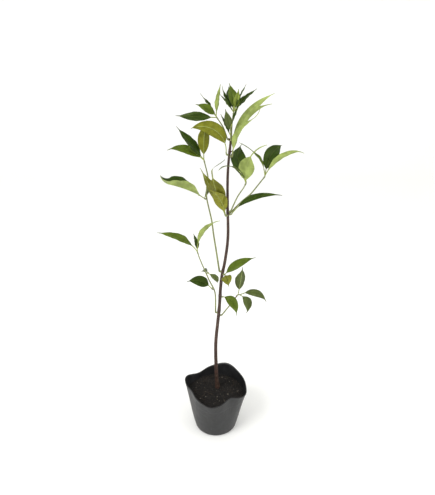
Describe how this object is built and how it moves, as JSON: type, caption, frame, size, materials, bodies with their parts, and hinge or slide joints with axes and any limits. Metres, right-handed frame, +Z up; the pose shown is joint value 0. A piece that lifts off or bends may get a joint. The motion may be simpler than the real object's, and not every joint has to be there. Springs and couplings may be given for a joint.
{
  "type": "potted evergreen tree seedling",
  "caption": "Slender young evergreen tree with opposite lance-shaped leaves, one thin leaning trunk and light side shoots, in a squeezed soft black nursery pot.",
  "frame": {"origin": "centre of the pot's flat underside, which stands on the ground", "axes": "+Z up, +X to the right and -Y towards the viewer of the picture"},
  "size_m": [0.2141, 0.1191, 0.588],
  "materials": {
    "pot_plastic": "soft black plastic film with a dull sheen",
    "soil_mix": "moist dark potting mix",
    "dark_bark": "thin dark red-brown bark",
    "green_bark": "smooth green shoot bark",
    "leaf_green": "glossy dark green leaf, paler beneath"
  },
  "bodies": {
    "root": {"pot": "pot_plastic", "soil": "soil_mix", "trunk": "dark_bark", "low_left_bough": "green_bark", "long_left_bough": "green_bark", "low_right_bough": "green_bark", "inner_right_bough": "green_bark", "outer_right_bough": "green_bark", "top_left_bough": "green_bark", "top_bough": "green_bark", "top_leaves": "leaf_green", "fork_leaves": "leaf_green", "top_left_leaves": "leaf_green", "upper_left_leaf": "leaf_green", "upper_right_leaves": "leaf_green", "high_left_leaves": "leaf_green", "left_node_leaves": "leaf_green", "whorl_left_leaves": "leaf_green", "whorl_right_leaf": "leaf_green", "inner_right_leaves": "leaf_green", "outer_right_leaves": "leaf_green", "middle_leaves": "leaf_green", "low_trunk_leaf": "leaf_green", "low_right_leaves": "leaf_green", "low_left_leaf": "leaf_green", "left_middle_leaves": "leaf_green", "low_left_leaves": "leaf_green"}
  },
  "joints": []
}
